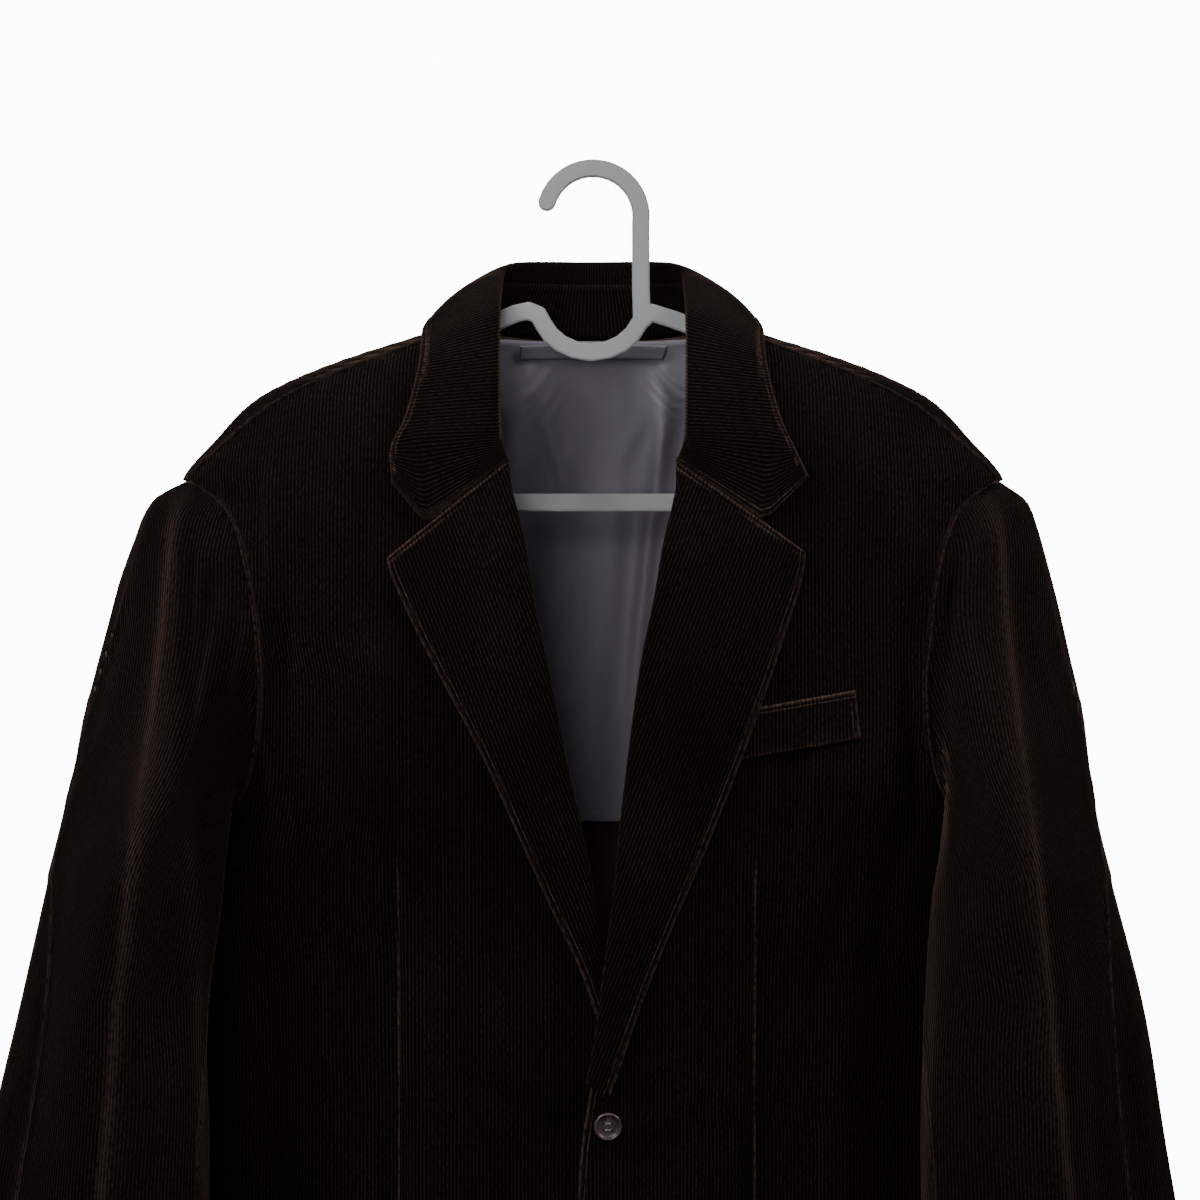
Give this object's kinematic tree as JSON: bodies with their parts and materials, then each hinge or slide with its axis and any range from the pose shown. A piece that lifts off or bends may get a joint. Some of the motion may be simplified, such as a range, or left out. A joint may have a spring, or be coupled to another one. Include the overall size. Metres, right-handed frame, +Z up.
{
  "type": "corduroy jacket on a clothes hanger",
  "caption": "Single-breasted corduroy jacket with notched lapels, buttoned up and hanging on a flat plastic hanger with a hook",
  "frame": {"origin": "the inside top of the hanger's hook, where a rail carries it", "axes": "+Z up, the front faces -Y, +X is the wearer's left"},
  "size_m": [0.7178, 0.1895, 0.8421],
  "materials": {
    "corduroy": "fine-waled cotton corduroy, dark brown, with a soft nap",
    "lining": "satin lining, charcoal with a violet cast",
    "patch": "bare woven strip, matt grey",
    "button": "polished dark brown",
    "hanger": "satin grey"
  },
  "bodies": {
    "root": {"hanger": "hanger", "front_left": "corduroy", "front_right": "corduroy", "back_left": "corduroy", "back_right": "corduroy", "top_sleeve_left": "corduroy", "top_sleeve_right": "corduroy", "under_sleeve_left": "corduroy", "under_sleeve_right": "corduroy", "lapel_left": "corduroy", "lapel_right": "corduroy", "collar_fall": "corduroy", "collar_stand": "corduroy", "breast_welt": "corduroy", "back_lining": "lining", "neck_patch": "patch", "button": "button"}
  },
  "joints": []
}
